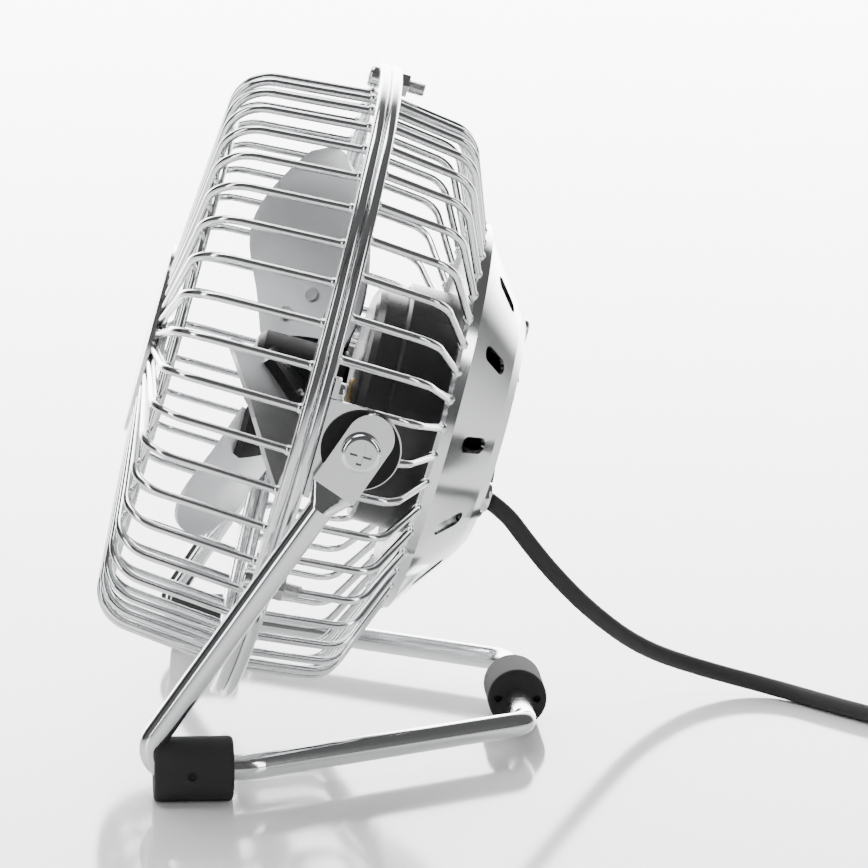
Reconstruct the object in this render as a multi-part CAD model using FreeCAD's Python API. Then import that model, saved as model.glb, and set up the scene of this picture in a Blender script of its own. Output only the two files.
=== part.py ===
"""Small tilting desk fan on a bent rod stand, as separate parts in millimetres.

The fan head is drawn upright about its tilt pivot: station a runs forward along the fan
axis, radius r runs out from it, and angle phi runs from the top towards -Y. place_head()
then tilts it back by TILT and lifts it onto the stand. Front is -X, up is +Z.
"""

import FreeCAD
import Part
import math
import os

V = FreeCAD.Vector
X_AXIS = V(1, 0, 0)
Y_AXIS = V(0, 1, 0)
Z_AXIS = V(0, 0, 1)

# Placing of the tilt pivot
TILT = 14.7
PIVOT_X = 5.9
PIVOT_Z = 68.8

# Rim rings and their screws
RIM_R = 67.0
RIM_INNER_R = 58.5
RIM_FRONT = 12.4
RIM_SEAM = 10.1
RIM_REAR = 7.8
RIM_ROUND = 0.9
RIM_SCREW_R = 63.8
RIM_SCREW_COUNT = 3

# Guard wires
WIRE_D = 1.6
WIRE_COUNT = 46
WIRE_START_R = 60.4
WELD = 0.2
FRONT_PHASE = 0.8
REAR_PHASE = -1.6
FRONT_CORNER = (38.7, 57.7)
FRONT_FILLET = 8.0
FRONT_CONE = 0.075
FRONT_END_R = 15.0
HOOP_R = 49.5
REAR_CORNER = (-9.5, 58.2)
REAR_FILLET = 6.0
REAR_END = (-16.2, 41.4)

# Badge in the middle of the front guard
BADGE_R = 19.7
BADGE_BACK = 42.6
BADGE_FRONT = 43.7
PLATE_R = 16.5
PLATE_BACK = 40.2
RIVET_R = 2.0

# Rear cover
COVER_R = 41.5
COVER_LIP = -15.6
COVER_BACK = -30.3
COVER_FLAT_R = 24.5
COVER_WALL = 0.8
CONE_TOP = (-18.5, 41.0)
CONE_END = (-28.5, 27.5)
SLOT_COUNT = 12
SLOT_PHASE = 28.0
SLOT_LENGTH = 8.5
SLOT_WIDTH = 3.3
SLOT_CENTRE = (-24.0, 34.0)
COVER_SCREW_R = 21.3

# Motor and its housings
PLATE_FRONT = -16.6
MOUNT_T = 1.2
HOUSING_FRONT = 0.4
HOUSING_WALL = 1.2
FRONT_HOUSING_R = 23.0
REAR_HOUSING_R = 25.2
HOUSING_SEAM = -6.0
HOUSING_SCREW_R = 21.6
CAN_R = 13.8
CAN_WALL = 1.0
CAP_T = 2.0
SHAFT_R = 1.5
BUSH_R = 3.0
BUSH_BORE_R = 1.53

# Rotor
HUB_R = 8.0
HUB_BACK = 1.8
HUB_NOSE = 22.0
BLADE_COUNT = 3
BLADE_PHASE = 97.0
ROOT_PITCH = 58.0
TIP_PITCH = 30.0
BLADE_T = 0.8
BLADE_ROOT_R = 9.0
# Radius, half chord and station of each blade section, from root to tip
BLADE_SECTIONS = [(5.0, 8.6, 12.0), (10.0, 10.8, 12.0), (18.0, 13.8, 12.6),
                  (26.0, 16.6, 14.4), (33.0, 17.6, 16.0), (40.0, 15.0, 17.4), (46.0, 9.6, 18.0),
                  (49.5, 4.0, 18.2)]
CAMBER_R = 75.0
ARM_T = 2.0
ARM_HALF = 9.5
ARM_END_R = 21.0

# Tilt pivot
FLANGE_INNER_Y = 61.8
TAB_INNER_Y = 67.0
TAB_T = 1.2
TAB_HALF = 7.7
WASHER_R = 7.4
WASHER_T = 0.85
EAR_INNER_Y = 69.1
EAR_T = 2.4
EAR_WIDTH = 9.0
EAR_UP = 7.6
EAR_DOWN = 9.0
PIVOT_SCREW_R = 1.5
PIVOT_HOLE_R = 1.58

# Stand
ROD_D = 5.0
ROD_Z = 5.9
LEG_LEAN = 33.8
BEND_R = 4.5
CORNER_R = 6.0
FRONT_BEND_Y = 63.3
KINK = (-20.5, 61.6)
REAR_CORNER_X = 35.6
REAR_CORNER_Y = 26.8
FOOT_D = 12.3
FRONT_FOOT = (-38.0, -23.0)
REAR_FOOT_HALF = 7.3

# Back of the cover: switch and cable gland
SWITCH_H = 14.3
SWITCH_SWING = 8.0
GLAND_H = -12.0
GLAND_R = 6.4
GLAND_BACK = -33.0

# Cord, its coil and its plug
CORD_D = 3.6
CORD_ROUTE = [
    (34.85, 0.0, 46.55), (38.6, 0.0, 44.0), (42.9, 0.9, 38.2), (49.5, 3.2, 30.0),
    (58.6, 8.0, 20.6), (70.2, 17.6, 11.0), (84.2, 25.0, 4.9), (99.2, 21.4, 1.8),
    (112.4, 3.0, 1.8), (125.2, -12.0, 1.8), (139.2, -21.6, 1.8),
]
COIL_D = 36.0
COIL_WIDE = 4
COIL_LAYERS = 2
COIL_ENTRY = -120.0
TAIL_ENTRY = 0.0
PLUG_BODY = (22.0, 15.6, 8.0)
PLUG_SHELL = (14.0, 12.0, 4.5)
PLUG_SHELL_WALL = 0.4


def place_head(shape):
    """Tilt a head part about the pivot and lift it to its place."""
    shape.rotate(V(0, 0, 0), Y_AXIS, TILT)
    shape.translate(V(PIVOT_X, 0, PIVOT_Z))
    return shape


def export(name, shapes, head=True):
    """Write one node as STEP; a list becomes a group of separate solids."""
    solids = shapes if isinstance(shapes, list) else [shapes]
    shape = solids[0] if len(solids) == 1 else Part.makeCompound(solids)
    if head:
        shape = place_head(shape)
    if not shape.isValid():
        raise ValueError("invalid shape: " + name)
    shape.exportStep("parts/" + name + ".step")
    print(name, len(shape.Solids), round(shape.Volume, 2))


def turned(points, round_r=0.0):
    """Solid turned about the fan axis from (station, radius) corner points."""
    wire = Part.makePolygon([V(-a, 0, r) for a, r in points + points[:1]])
    solid = Part.Face(wire).revolve(V(0, 0, 0), X_AXIS, 360)
    if round_r:
        circles = [e for e in solid.Edges if isinstance(e.Curve, Part.Circle)]
        solid = solid.makeFillet(round_r, circles)
    return solid


def disc(front, back, radius):
    """Cylinder on the fan axis between two stations."""
    return Part.makeCylinder(radius, front - back, V(-front, 0, 0), X_AXIS)


def around(shape, count, phase=0.0):
    """Copies of a shape spread evenly round the fan axis."""
    copies = []
    for i in range(count):
        copy = shape.copy()
        copy.rotate(V(0, 0, 0), X_AXIS, phase + 360.0 * i / count)
        copies.append(copy)
    return copies


def rod_at(front, back, radius, out):
    """Cylinder parallel to the fan axis at distance out above it."""
    return Part.makeCylinder(radius, front - back, V(-front, 0, out), X_AXIS)


def pan_screw(seat, direction, head_r, head_h, shank_r, length):
    """Pan head screw with a cross recess; the shank runs against direction from seat."""
    head = Part.makeCylinder(head_r, head_h, seat, direction)
    top = [e for e in head.Edges if isinstance(e.Curve, Part.Circle)
           and (e.Curve.Center - seat).Length > head_h / 2]
    head = head.makeFillet(0.45 * head_h, top)
    shank = Part.makeCylinder(shank_r, length, seat - direction * length, direction)
    screw = head.fuse(shank)
    side = direction.cross(X_AXIS)
    if side.Length < 0.1:
        side = direction.cross(Z_AXIS)
    side.normalize()
    other = direction.cross(side)
    slot_w = 0.28 * head_r
    slot_l = 1.1 * head_r
    depth = 0.55 * head_h
    for u, w in ((side, other), (other, side)):
        corner = seat + direction * (head_h - depth) - u * (slot_l / 2) - w * (slot_w / 2)
        ends = [corner, corner + u * slot_l, corner + u * slot_l + w * slot_w,
                corner + w * slot_w, corner]
        bar = Part.Face(Part.makePolygon(ends)).extrude(direction * (2 * depth))
        screw = screw.cut(bar)
    return screw


def hex_nut(front, thickness, flats, bore_r, out):
    """Hexagon nut parallel to the fan axis at distance out above it."""
    corner_r = flats / math.sqrt(3)
    corners = []
    for i in range(7):
        turn = math.radians(60 * i)
        corners.append(V(-front, corner_r * math.cos(turn), out + corner_r * math.sin(turn)))
    nut = Part.Face(Part.makePolygon(corners)).extrude(V(thickness, 0, 0))
    return nut.cut(rod_at(front + 1, front - thickness - 1, bore_r, out))


def rounded_path(points, radii):
    """Straight runs joined by tangent arcs of the given radii at the inner points."""
    edges = []
    start = points[0]
    for before, corner, after, radius in zip(points, points[1:], points[2:], radii):
        into = (corner - before).normalize()
        out = (after - corner).normalize()
        turn = into.getAngle(out)
        reach = radius * math.tan(turn / 2)
        arc_start = corner - into * reach
        arc_end = corner + out * reach
        middle = (out - into).normalize()
        centre_gap = radius / math.cos(turn / 2)
        arc_middle = corner + middle * (centre_gap - radius)
        edges.append(Part.LineSegment(start, arc_start).toShape())
        edges.append(Part.Arc(arc_start, arc_middle, arc_end).toShape())
        start = arc_end
    edges.append(Part.LineSegment(start, points[-1]).toShape())
    return Part.Wire(edges)


def tube(path, diameter):
    """Solid rod of round section along a path of runs and tangent arcs."""
    first = path.Edges[0]
    begin = first.valueAt(first.FirstParameter)
    direction = first.tangentAt(first.FirstParameter)
    profile = Part.Wire(Part.makeCircle(diameter / 2, begin, direction))
    return path.makePipeShell([profile], True, False)


def rim_rings():
    """Front and rear clamping rings with clearance holes for the rim screws."""
    rings = {}
    spans = {"front_rim_ring": (RIM_FRONT, RIM_SEAM), "rear_rim_ring": (RIM_SEAM, RIM_REAR)}
    hole = rod_at(RIM_FRONT + 1, RIM_REAR - 1, 1.3, RIM_SCREW_R)
    for name, (front, back) in spans.items():
        ring = turned([(front, RIM_INNER_R), (front, RIM_R), (back, RIM_R),
                       (back, RIM_INNER_R)], RIM_ROUND)
        for tool in around(hole, RIM_SCREW_COUNT):
            ring = ring.cut(tool)
        rings[name] = ring
    return rings


def rim_fasteners():
    """Screws that clamp the two rim rings, and the nuts behind them."""
    screw = pan_screw(V(-RIM_FRONT, 0, RIM_SCREW_R), V(-1, 0, 0), 2.2, 1.7, 1.2, 10.0)
    nut = hex_nut(RIM_REAR, 2.0, 4.5, 1.2, RIM_SCREW_R)
    return around(screw, RIM_SCREW_COUNT), around(nut, RIM_SCREW_COUNT)


def guard_wire(stations, fillet):
    """One guard wire through three (station, radius) points."""
    points = [V(-a, 0, r) for a, r in stations]
    return tube(rounded_path(points, [fillet]), WIRE_D)


def front_cone_station(radius):
    """Station of the front wires' centre line at a radius inside their corner."""
    return FRONT_CORNER[0] + FRONT_CONE * (FRONT_CORNER[1] - radius)


def front_wires():
    """Radial wires of the front guard, welded to the rim and the badge."""
    start = (RIM_FRONT - WELD, WIRE_START_R)
    end = (front_cone_station(FRONT_END_R), FRONT_END_R)
    return around(guard_wire([start, FRONT_CORNER, end], FRONT_FILLET), WIRE_COUNT, FRONT_PHASE)


def rear_wires():
    """Radial wires of the rear guard, welded to the rim and the cover lip."""
    start = (RIM_REAR + WELD, WIRE_START_R)
    return around(guard_wire([start, REAR_CORNER, REAR_END], REAR_FILLET), WIRE_COUNT, REAR_PHASE)


def front_hoop():
    """Hoop welded behind the front wires."""
    station = front_cone_station(HOOP_R) - WIRE_D + 0.12
    return Part.makeTorus(HOOP_R, WIRE_D / 2, V(-station, 0, 0), X_AXIS)


def front_badge():
    """Shallow domed disc with a lip turned back over the wire ends."""
    lip_back = BADGE_BACK - 0.5
    shoulder = BADGE_BACK + 0.4
    inner_r = BADGE_R - 0.8
    rim = V(-shoulder, 0, BADGE_R)
    crown = V(-BADGE_FRONT, 0, 0)
    rise = BADGE_FRONT - shoulder
    dome_r = (BADGE_R ** 2 + rise ** 2) / (2 * rise)
    half = math.asin(BADGE_R / dome_r) / 2
    mid = V(-(BADGE_FRONT - dome_r * (1 - math.cos(half))), 0, dome_r * math.sin(half))
    corners = [crown, V(-BADGE_BACK, 0, 0), V(-BADGE_BACK, 0, inner_r),
               V(-lip_back, 0, inner_r), V(-lip_back, 0, BADGE_R), rim]
    edges = [Part.LineSegment(p, q).toShape() for p, q in zip(corners, corners[1:])]
    edges.append(Part.Arc(rim, mid, crown).toShape())
    return Part.Face(Part.Wire(edges)).revolve(V(0, 0, 0), X_AXIS, 360)


def badge_backing():
    """Plate that holds the wire ends against the badge, with its rivet."""
    plate = turned([(PLATE_BACK, RIVET_R), (BADGE_BACK - 1.35, RIVET_R),
                    (BADGE_BACK - 1.35, FRONT_END_R), (BADGE_BACK - 1.6, PLATE_R),
                    (PLATE_BACK, PLATE_R)])
    shank = disc(BADGE_BACK, PLATE_BACK - 0.5, RIVET_R)
    head = disc(PLATE_BACK, PLATE_BACK - 0.9, 1.6 * RIVET_R)
    return plate, shank.fuse(head).removeSplitter()


def cover_shell():
    """Thin turned cup: rounded lip, slotted cone and flat back."""
    wall = COVER_WALL
    outer = [(COVER_LIP, COVER_R - wall), (COVER_LIP - 0.8, COVER_R), CONE_TOP, CONE_END,
             (COVER_BACK, COVER_FLAT_R), (COVER_BACK, 0)]
    inner = [(COVER_BACK + wall, 0), (COVER_BACK + wall, COVER_FLAT_R - 0.4),
             (CONE_END[0] + 0.7 * wall, CONE_END[1] - 0.6 * wall),
             (CONE_TOP[0] + 0.5 * wall, COVER_R - 1.5 * wall),
             (COVER_LIP, COVER_R - 1.5 * wall)]
    return turned(outer + inner)


def cone_slot():
    """Round-ended slot tool square to the cover's cone."""
    straight = SLOT_LENGTH - SLOT_WIDTH
    bar = Part.makeBox(straight, SLOT_WIDTH, 8, V(-straight / 2, -SLOT_WIDTH / 2, -4))
    for end in (-straight / 2, straight / 2):
        bar = bar.fuse(Part.makeCylinder(SLOT_WIDTH / 2, 8, V(end, 0, -4)))
    fall = CONE_TOP[1] - CONE_END[1]
    run = CONE_TOP[0] - CONE_END[0]
    bar.rotate(V(0, 0, 0), Y_AXIS, math.degrees(math.atan2(fall, run)))
    bar.translate(V(-SLOT_CENTRE[0], 0, SLOT_CENTRE[1]))
    return bar.removeSplitter()


def rear_cover():
    """Rear cover with vent slots and holes for the screws, switch and gland."""
    cover = cover_shell()
    for tool in around(cone_slot(), SLOT_COUNT, SLOT_PHASE):
        cover = cover.cut(tool)
    for tool in around(rod_at(COVER_BACK + 2, COVER_BACK - 2, 1.7, COVER_SCREW_R), 3):
        cover = cover.cut(tool)
    cover = cover.cut(Part.makeBox(4, 12.4, 6.6, V(-COVER_BACK - 2, -6.2, SWITCH_H - 3.3)))
    return cover.cut(rod_at(COVER_BACK + 2, COVER_BACK - 2, 4.5, GLAND_H))


def cover_fixings():
    """Stand-off pillars inside the cover and the screws into them."""
    top = PLATE_FRONT - MOUNT_T
    pillar = rod_at(top, COVER_BACK + COVER_WALL, 3.0, COVER_SCREW_R)
    pillar = pillar.cut(rod_at(top + 1, COVER_BACK, 1.6, COVER_SCREW_R))
    screw = pan_screw(V(-COVER_BACK, 0, COVER_SCREW_R), X_AXIS, 3.1, 1.3, 1.5, 9.0)
    return around(pillar, 3), around(screw, 3)


def mount_plate():
    """Plate that closes the front of the cover and carries the motor."""
    seat_r = COVER_R - 1.5 * COVER_WALL
    plate = disc(PLATE_FRONT, PLATE_FRONT - MOUNT_T, seat_r)
    for tool in around(rod_at(PLATE_FRONT + 1, PLATE_FRONT - 3, 1.3, HOUSING_SCREW_R), 3, 60):
        plate = plate.cut(tool)
    return plate


def motor_housings():
    """Front cup and rear collar that enclose the motor."""
    wall = HOUSING_WALL
    tail = HOUSING_SEAM - 4
    nose_r = FRONT_HOUSING_R - 2
    front = turned([(HOUSING_FRONT, BUSH_R), (HOUSING_FRONT, nose_r),
                    (HOUSING_FRONT - 0.6, nose_r + 1.4), (HOUSING_FRONT - 2, FRONT_HOUSING_R),
                    (tail, FRONT_HOUSING_R), (tail, FRONT_HOUSING_R - wall),
                    (HOUSING_FRONT - wall, FRONT_HOUSING_R - wall),
                    (HOUSING_FRONT - wall, BUSH_R)])
    collar = turned([(HOUSING_SEAM, FRONT_HOUSING_R), (HOUSING_SEAM, REAR_HOUSING_R - 0.9),
                     (HOUSING_SEAM - 0.6, REAR_HOUSING_R), (PLATE_FRONT, REAR_HOUSING_R),
                     (PLATE_FRONT, FRONT_HOUSING_R - 4), (PLATE_FRONT + 4, FRONT_HOUSING_R - 4),
                     (PLATE_FRONT + 4, FRONT_HOUSING_R)])
    for tool in around(rod_at(PLATE_FRONT + 3.5, PLATE_FRONT - 1, 1.25, HOUSING_SCREW_R), 3, 60):
        collar = collar.cut(tool)
    screw = pan_screw(V(MOUNT_T - PLATE_FRONT, 0, HOUSING_SCREW_R), X_AXIS, 2.3, 1.4, 1.25, 4.4)
    return front, collar, around(screw, 3, 60)


def motor_stator():
    """Can, end cap, magnets, brushes and bushes of the motor."""
    front = HOUSING_FRONT - HOUSING_WALL
    back = PLATE_FRONT + CAP_T
    inner_r = CAN_R - CAN_WALL
    can = turned([(front, BUSH_R), (front, CAN_R), (back, CAN_R), (back, inner_r),
                  (front - CAN_WALL, inner_r), (front - CAN_WALL, BUSH_R)])
    cap = turned([(back, BUSH_R), (back, CAN_R), (PLATE_FRONT, CAN_R), (PLATE_FRONT, BUSH_R)])
    last = back + 0.6
    first = front - CAN_WALL - 0.4
    ring = turned([(first, inner_r - 2.2), (first, inner_r), (last, inner_r),
                   (last, inner_r - 2.2)])
    gap = Part.makeBox(30, 9, 60, V(-10, -4.5, -30))
    magnets = ring.cut(gap).Solids
    brush = Part.makeBox(1.4, 2, 2.4, V(-back - 2.4, -1, 3.9))
    arm = Part.makeBox(2.4, 2, 1, V(-back - 2.4, -1, 6.3))
    brushes = around(brush.fuse(arm).removeSplitter(), 2, 90)
    bushes = []
    for first, last in ((HOUSING_FRONT + 0.4, front - 2.0), (back + 0.4, PLATE_FRONT)):
        bushes.append(disc(first, last, BUSH_R).cut(disc(first + 1, last - 1, BUSH_BORE_R)))
    return can, cap, magnets, brushes, bushes


def motor_rotor():
    """Shaft, armature and commutator that turn with the fan."""
    shaft = disc(19.0, PLATE_FRONT + 0.3, SHAFT_R)
    core = disc(-3.2, -11.0, 9.8)
    slot = Part.makeBox(9, 2.2, 6, V(2.6, -1.1, 5.5))
    for tool in around(slot, 3, 30):
        core = core.cut(tool)
    core = core.cut(disc(-3, -12, SHAFT_R))
    commutator = disc(-11.0, -13.8, 3.5).cut(disc(-10, -14, SHAFT_R))
    return shaft, core, commutator


def blade_pitch(radius):
    """Pitch at a radius, steep at the root and flatter towards the tip."""
    tip_r = BLADE_SECTIONS[-1][0]
    left = min(1.0, (tip_r - radius) / (tip_r - BLADE_ROOT_R))
    return TIP_PITCH + (ROOT_PITCH - TIP_PITCH) * left ** 1.5


def to_section(shape, radius, station):
    """Turn a flat section in the chord and normal plane to its place in the blade."""
    shape.rotate(V(0, 0, 0), Z_AXIS, 90 + blade_pitch(radius))
    shape.translate(V(-station, 0, radius))
    return shape


def strip(half_chord, depth, thickness):
    """Cambered section strip at a depth behind the blade's hollow face."""
    rise = half_chord ** 2 / (2 * CAMBER_R)
    front = [V(half_chord, rise - depth, 0), V(0, -depth, 0), V(-half_chord, rise - depth, 0)]
    back = [p - V(0, thickness, 0) for p in front]
    edges = [Part.Arc(*front).toShape(), Part.LineSegment(front[2], back[2]).toShape(),
             Part.Arc(*reversed(back)).toShape(), Part.LineSegment(back[0], front[0]).toShape()]
    return Part.Wire(edges)


def twisted(depth, thickness, widest):
    """Solid through the blade's sections, no wider than a half chord."""
    wires = []
    for radius, half_chord, station in BLADE_SECTIONS:
        wire = strip(min(half_chord, widest), depth, thickness)
        wires.append(to_section(wire, radius, station))
    return Part.makeLoft(wires, True)


def blade_pin(chord, radius, station):
    """Rivet square to the blade at a chord position and radius."""
    rise = chord ** 2 / (2 * CAMBER_R)
    foot = V(chord, rise - BLADE_T - 2.6, 0)
    shank = Part.makeCylinder(0.9, BLADE_T + 3.2, foot, Y_AXIS)
    head = Part.makeCylinder(1.5, 0.6, foot + V(0, BLADE_T + 2.65, 0), Y_AXIS)
    pin = head.fuse(shank).removeSplitter()
    return to_section(pin, radius, station)


def hub_body():
    """Turned hub with a shoulder at the back and a rounded nose."""
    nose_r = HUB_R - 1.5
    return turned([(HUB_BACK, 0), (HUB_BACK, HUB_R - 1), (HUB_BACK + 1, HUB_R),
                   (HUB_NOSE - 2, HUB_R), (HUB_NOSE - 0.7, nose_r),
                   (HUB_NOSE, 0.5 * nose_r), (HUB_NOSE, 0)])


def fan_rotor():
    """Hub with its arms, the twisted sheet blades and the rivets that hold them."""
    blade = twisted(0.0, BLADE_T, 99.0).cut(disc(40, -10, BLADE_ROOT_R)).Solids[0]
    blades = around(blade, BLADE_COUNT, BLADE_PHASE)
    reach = Part.makeCylinder(ARM_END_R, 60, V(-45, 0, 0), X_AXIS)
    arm = twisted(BLADE_T, ARM_T, ARM_HALF).common(reach).Solids[0]
    hub = hub_body().fuse(around(arm, BLADE_COUNT, BLADE_PHASE))
    hub = hub.cut(disc(19.0, HUB_BACK - 1, SHAFT_R))
    pins = []
    for chord, radius, station in ((5.5, 13.5, 12.3), (-5.5, 13.5, 12.3), (0.0, 18.0, 12.6)):
        pins.append(blade_pin(chord, radius, station))
    pins = [copy for pin in pins for copy in around(pin, BLADE_COUNT, BLADE_PHASE)]
    return hub, blades, pins


def pivot_bracket():
    """Bent strap on the near side: flange behind the rim, tab out to the pivot."""
    flange_t = 1.1
    tab_y = TAB_INNER_Y + TAB_T
    front = -RIM_REAR
    flange = Part.makeBox(flange_t, 67.4 - FLANGE_INNER_Y, 23, V(front, -67.4, -11.5))
    bridge = Part.makeBox(flange_t, tab_y - FLANGE_INNER_Y, 2 * TAB_HALF,
                          V(front, -tab_y, -TAB_HALF))
    tab = Part.makeBox(RIM_REAR, TAB_T, 2 * TAB_HALF, V(front, -tab_y, -TAB_HALF))
    end = Part.makeCylinder(TAB_HALF, TAB_T, V(0, -tab_y, 0), Y_AXIS)
    bracket = flange.fuse([bridge, tab, end]).removeSplitter()
    bracket = bracket.cut(Part.makeCylinder(PIVOT_SCREW_R, 4, V(0, -tab_y - 1, 0), Y_AXIS))
    inner = [e for e in bracket.Edges if abs(e.BoundBox.YMin + FLANGE_INNER_Y) < 0.01
             and abs(e.BoundBox.YMax + FLANGE_INNER_Y) < 0.01 and e.BoundBox.XLength > 1]
    bracket = bracket.makeFillet(2.0, inner)
    for h in (-8.5, 8.5):
        bracket = bracket.cut(Part.makeCylinder(1.2, 4, V(front - 1, -63.9, h), X_AXIS))
    return bracket


def bracket_screws():
    """Short screws through each bracket flange into the rear rim ring."""
    screws = []
    for side in (-1, 1):
        for h in (-8.5, 8.5):
            seat = V(1.1 - RIM_REAR, side * 63.9, h)
            screws.append(pan_screw(seat, X_AXIS, 2.1, 1.4, 1.2, 2.6))
    return screws


def pivot_fasteners():
    """Pivot screws, washers and inner nuts of both sides."""
    tab_y = TAB_INNER_Y + TAB_T
    screws = []
    washers = []
    nuts = []
    for side in (-1, 1):
        seat = V(0, side * (EAR_INNER_Y + EAR_T + 0.05), 0)
        screws.append(pan_screw(seat, V(0, side, 0), 3.75, 2.15, PIVOT_SCREW_R, 6.8))
        washer = Part.makeCylinder(WASHER_R, WASHER_T, V(0, side * tab_y, 0), V(0, side, 0))
        washers.append(washer.cut(Part.makeCylinder(PIVOT_SCREW_R, 9, V(0, side * 64, 0),
                                                    V(0, side, 0))))
        nut = hex_nut(0, 2.3, 5.5, PIVOT_SCREW_R, 0)
        nut.rotate(V(0, 0, 0), Z_AXIS, -90 * side)
        nut.translate(V(0, side * TAB_INNER_Y, 0))
        nuts.append(nut)
    return screws, washers, nuts


def mirrored(shape):
    """Copy of a shape on the other side of the fan's middle plane."""
    return shape.mirror(V(0, 0, 0), Y_AXIS)


def at_pivot(x, y, z):
    """Point from pivot-based X, Y and floor-based Z."""
    return V(PIVOT_X + x, y, z)


def leg_direction():
    """Unit direction down the leg from the pivot."""
    lean = math.radians(LEG_LEAN)
    return V(-math.sin(lean), 0, -math.cos(lean))


def leg_run():
    """X of the leg's foot relative to the pivot."""
    return -(PIVOT_Z - ROD_Z) * math.tan(math.radians(LEG_LEAN))


def stand_path():
    """Centre line of the bent rod from the near ear round to the far ear."""
    down = leg_direction()
    ear_y = EAR_INNER_Y + EAR_T / 2
    pivot = at_pivot(0, 0, PIVOT_Z)
    top = pivot + down * (EAR_DOWN + 4)
    foot = at_pivot(leg_run(), 0, ROD_Z)
    half = [V(top.x, -ear_y, top.z), V(foot.x, -FRONT_BEND_Y, ROD_Z),
            at_pivot(KINK[0], -KINK[1], ROD_Z),
            at_pivot(REAR_CORNER_X, -REAR_CORNER_Y, ROD_Z)]
    other = [V(p.x, -p.y, p.z) for p in reversed(half)]
    return rounded_path(half + other, [BEND_R, 12.0, CORNER_R, CORNER_R, 12.0, BEND_R])


def ear(path):
    """Flattened near end of the rod, with the pivot hole and a neck to the round rod."""
    down = leg_direction()
    pivot = at_pivot(0, -EAR_INNER_Y - EAR_T, PIVOT_Z)
    across = Y_AXIS.cross(down)
    half = EAR_WIDTH / 2
    low = pivot + down * EAR_DOWN
    high = pivot - down * (EAR_UP - half)
    ring = [low - across * half, low + across * half, high + across * half]
    crown = Part.Arc(ring[2], pivot - down * EAR_UP, high - across * half).toShape()
    sides = [Part.LineSegment(p, q).toShape() for p, q in
             ((high - across * half, ring[0]), (ring[0], ring[1]), (ring[1], ring[2]))]
    plate = Part.Face(Part.Wire(sides + [crown])).extrude(V(0, EAR_T, 0))
    start = path.Edges[0].valueAt(path.Edges[0].FirstParameter)
    along = path.Edges[0].tangentAt(path.Edges[0].FirstParameter)
    neck_top = low + V(0, EAR_T / 2, 0)
    oval = Part.Ellipse(neck_top + across * half, neck_top + V(0, EAR_T / 2, 0), neck_top)
    circle = Part.Circle(start, along, ROD_D / 2)
    neck = Part.makeLoft([Part.Wire(oval.toShape()), Part.Wire(circle.toShape())], True)
    return plate.fuse(neck)


def stand_rod():
    """One bent rod with both ears flattened and drilled."""
    path = stand_path()
    near = ear(path)
    rod = tube(path, ROD_D).fuse([near, mirrored(near)])
    hole = Part.makeCylinder(PIVOT_HOLE_R, 200, at_pivot(0, -100, PIVOT_Z), Y_AXIS)
    return rod.cut(hole).removeSplitter()


def sleeve(start, end):
    """Round rubber sleeve between two points on the rod, flat underneath."""
    length = (end - start).Length
    body = Part.makeCylinder(FOOT_D / 2, length, start, end - start)
    ends = [e for e in body.Edges if isinstance(e.Curve, Part.Circle)]
    body = body.makeFillet(0.8, ends)
    return body.cut(Part.makeBox(400, 400, 20, V(-200, -200, -20)))


def feet(rod):
    """Two front sleeves and one rear sleeve on the stand rod."""
    bend_x = leg_run()
    slope = (KINK[1] - FRONT_BEND_Y) / (KINK[0] - bend_x)
    front_y = [-(FRONT_BEND_Y + slope * (x - bend_x)) for x in FRONT_FOOT]
    near = sleeve(at_pivot(FRONT_FOOT[0], front_y[0], ROD_Z),
                  at_pivot(FRONT_FOOT[1], front_y[1], ROD_Z))
    dimple = Part.makeCylinder(0.9, 2, at_pivot(-30.5, front_y[0] - 7, ROD_Z), Y_AXIS)
    near = near.cut(dimple)
    far = mirrored(near)
    rear = sleeve(at_pivot(REAR_CORNER_X, -REAR_FOOT_HALF, ROD_Z),
                  at_pivot(REAR_CORNER_X, REAR_FOOT_HALF, ROD_Z))
    for x in (-4.0, 4.0):
        for y in (-REAR_FOOT_HALF - 1, REAR_FOOT_HALF - 1.4):
            spot = at_pivot(REAR_CORNER_X + x, y, ROD_Z)
            rear = rear.cut(Part.makeCylinder(0.8, 2.4, spot, Y_AXIS))
    return [shape.cut(rod) for shape in (near, far, rear)]


def switch_parts():
    """Switch body with its bezel, and the rocker in its resting tilt."""
    back = -COVER_BACK
    bezel = Part.makeBox(0.8, 13.4, 7.4, V(back, -6.7, SWITCH_H - 3.7))
    block = Part.makeBox(7.5, 12.4, 6.6, V(back - 7.5, -6.2, SWITCH_H - 3.3))
    pit = Part.makeBox(6, 11.4, 6.2, V(back - 4, -5.7, SWITCH_H - 3.1))
    pin_x = back - 0.6
    body = block.fuse(bezel).removeSplitter().cut(pit)
    body = body.cut(Part.makeCylinder(0.66, 12.3, V(pin_x, -6.15, SWITCH_H), Y_AXIS))
    top = back + 1.7
    corners = [V(back - 2.4, -5.4, SWITCH_H - 2.3), V(back - 2.4, -5.4, SWITCH_H + 2.3),
               V(top, -5.4, SWITCH_H + 2.6), V(top - 0.5, -5.4, SWITCH_H),
               V(top, -5.4, SWITCH_H - 2.6)]
    rocker = Part.Face(Part.makePolygon(corners + corners[:1])).extrude(V(0, 10.8, 0))
    rocker = rocker.fuse(Part.makeCylinder(0.6, 12.1, V(pin_x, -6.05, SWITCH_H), Y_AXIS))
    rocker.rotate(V(pin_x, 0, SWITCH_H), Y_AXIS, -SWITCH_SWING)
    blade = Part.makeBox(3.2, 2.2, 0.6, V(back - 10.7, -1.1, SWITCH_H - 0.3))
    terminals = []
    for y in (-3.6, 3.6):
        terminal = blade.copy()
        terminal.translate(V(0, y, 0))
        terminals.append(terminal)
    return body, rocker.removeSplitter(), terminals


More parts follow.
